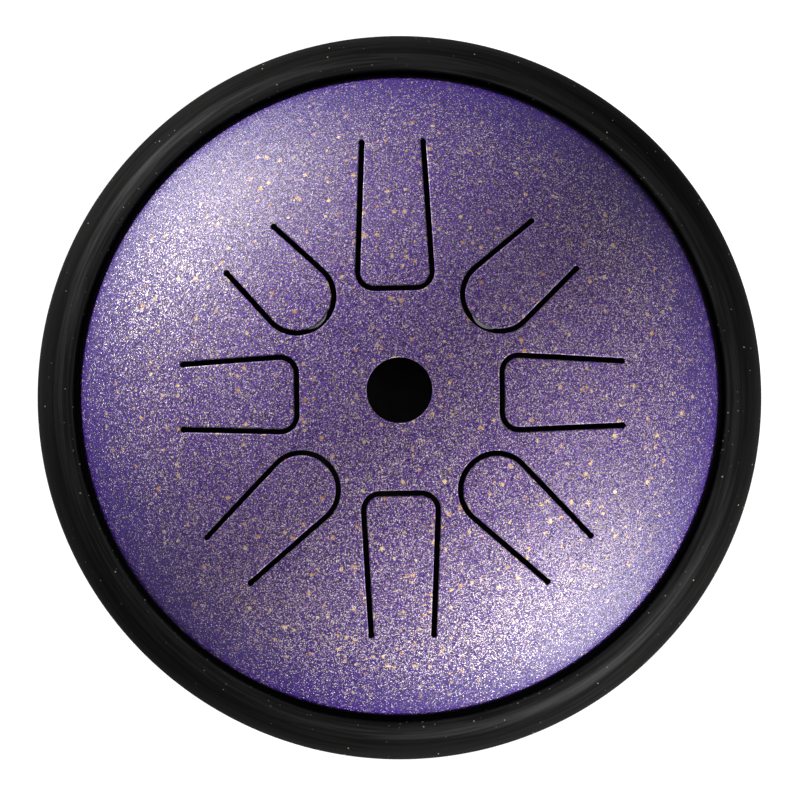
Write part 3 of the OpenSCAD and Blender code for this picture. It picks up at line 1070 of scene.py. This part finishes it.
# Feet
def foot_mesh():
    """One foot at the origin: a blunt cone with rounded edges and the recess for its screw."""
    lean = math.degrees(math.atan2(FOOT_R - FOOT_BASE_R, FOOT_H - FOOT_CHAMFER))
    side_way = (math.cos(math.radians(lean)), -math.sin(math.radians(lean)))
    skin = Skin()
    mouth = RECESS_R + FOOT_EDGE_R
    sections = [
        line(mouth, 0, FOOT_BASE_R - FOOT_CHAMFER, 0, 0, -1),
        arc(FOOT_BASE_R - FOOT_CHAMFER, FOOT_CHAMFER, FOOT_CHAMFER, 270, 360 - lean, steps=6),
        line(FOOT_BASE_R, FOOT_CHAMFER, FOOT_R, FOOT_H, *side_way),
        line(FOOT_R, FOOT_H, SCREW_HOLE_R, FOOT_H, 0, 1),
        line(SCREW_HOLE_R, FOOT_H, SCREW_HOLE_R, RECESS_H, -1, 0),
        line(SCREW_HOLE_R, RECESS_H, RECESS_R, RECESS_H, 0, -1),
        line(RECESS_R, RECESS_H, RECESS_R, FOOT_EDGE_R, -1, 0),
        arc(mouth, FOOT_EDGE_R, FOOT_EDGE_R, 180, 270, steps=4),
    ]
    start = skin.add_points(round_points(mouth, 0, FOOT_STEPS))
    lathe(skin, sections, [], start, start, FOOT_STEPS)
    made = skin.make("foot", foot_black)
    mesh = made.data
    bpy.data.objects.remove(made)
    return mesh


feet = run_tree(
    "rubber_feet",
    foot_mesh(),
    REPEAT,
    smooth_below=30,
    Circle_Radius=FOOT_CIRCLE_R * MM,
    Count=len(FOOT_AZIMUTHS),
    First_Azimuth=math.radians(FOOT_AZIMUTHS[0]),
    Material=foot_black,
)
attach(feet, "drum")
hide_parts("foot_1", "foot_2", "foot_3", "foot_4")

# CAD nodes whose shapes are right take a finish
for name in ("foot_screws", "foot_washers", "foot_nuts", "foot_inserts", "rim_adhesive"):
    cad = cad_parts[name]
    cad.data.materials.clear()
    cad.data.materials.append(adhesive if name == "rim_adhesive" else zinc)

# Camera
CAMERA_TILT = math.radians(1.9)
CAMERA_REACH = 0.8
SENSOR_WIDTH = 36
LENS = 153.2
SHIFT_X = 0.0007
SHIFT_Y = -0.0043

camera_data = bpy.data.cameras.new("camera")
camera_data.sensor_width = SENSOR_WIDTH
camera_data.lens = LENS
camera_data.shift_x = SHIFT_X
camera_data.shift_y = SHIFT_Y
camera = bpy.data.objects.new("camera", camera_data)
bpy.context.scene.collection.objects.link(camera)
camera_z = SEAM_Z * MM + math.cos(CAMERA_TILT) * CAMERA_REACH
camera.location = (0, -math.sin(CAMERA_TILT) * CAMERA_REACH, camera_z)
camera.rotation_euler = (CAMERA_TILT, 0, 0)
bpy.context.scene.camera = camera

# Stage
FLOOR_GLOW = 0.7
FLOOR_COLOUR = (0.5, 0.5, 0.5)
FLOOR_HALF = 8
LAMP_DISTANCE = 1.6
LAMP_AIM_Z = 0.05
# Name, azimuth and zenith angle, width and height, light on a surface that faces the lamp
LAMPS = (
    ("left_box", 135, 85, 0.7, 0.34, 8.3),
    ("right_box", 311, 85, 0.7, 0.34, 8.3),
    ("front_box", 285, 62, 0.6, 0.5, 0.7),
    ("top_box", 60, 8, 0.6, 0.6, 1.15),
)
WORLD_COLOUR = (1, 1, 1)
WORLD_LIGHT = 0.02

bpy.context.scene.view_settings.view_transform = "Standard"


def floor_material():
    """Pale floor that shows white to the camera and in gloss, and keeps the drum's shadow."""
    mat = bpy.data.materials.new("pale_floor")
    mat.use_nodes = True
    tree = mat.node_tree
    tree.nodes.clear()
    path = node(tree, "ShaderNodeLightPath").outputs
    seen = math_node(tree, "MAXIMUM", path["Is Camera Ray"], path["Is Glossy Ray"])
    seen = math_node(tree, "MAXIMUM", seen, path["Is Transmission Ray"])
    glow = node(tree, "ShaderNodeEmission")
    link(tree, math_node(tree, "MULTIPLY", seen, FLOOR_GLOW), glow.inputs["Strength"])
    matt = node(tree, "ShaderNodeBsdfDiffuse")
    matt.inputs["Color"].default_value = (*FLOOR_COLOUR, 1)
    total = node(tree, "ShaderNodeAddShader")
    link(tree, glow.outputs[0], total.inputs[0])
    link(tree, matt.outputs[0], total.inputs[1])
    link(tree, total.outputs[0], node(tree, "ShaderNodeOutputMaterial").inputs["Surface"])
    return mat


floor_mesh = bpy.data.meshes.new("floor")
floor_corners = [(x * FLOOR_HALF, y * FLOOR_HALF, 0) for x, y in ((-1, -1), (1, -1), (1, 1), (-1, 1))]
floor_mesh.from_pydata(floor_corners, [], [(0, 1, 2, 3)])
floor_mesh.materials.append(floor_material())
floor = bpy.data.objects.new("floor", floor_mesh)
bpy.context.scene.collection.objects.link(floor)


def soft_box(name, azimuth, zenith, width, height, light):
    """A rectangular lamp that looks at the drum; light is what falls on a surface that faces it."""
    data = bpy.data.lights.new(name, "AREA")
    data.shape = "RECTANGLE"
    data.size = width
    data.size_y = height
    data.energy = light * math.pi * LAMP_DISTANCE ** 2
    lamp = bpy.data.objects.new(name, data)
    bpy.context.scene.collection.objects.link(lamp)
    a, z = math.radians(azimuth), math.radians(zenith)
    way = Vector((math.cos(a) * math.sin(z), math.sin(a) * math.sin(z), math.cos(z)))
    lamp.location = Vector((0, 0, LAMP_AIM_Z)) + way * LAMP_DISTANCE
    lamp.rotation_euler = way.to_track_quat("Z", "Y").to_euler()


for lamp_row in LAMPS:
    soft_box(*lamp_row)

world = bpy.data.worlds.new("studio")
bpy.context.scene.world = world
world.use_nodes = True
background = world.node_tree.nodes["Background"]
background.inputs["Color"].default_value = (*WORLD_COLOUR, 1)
background.inputs["Strength"].default_value = WORLD_LIGHT
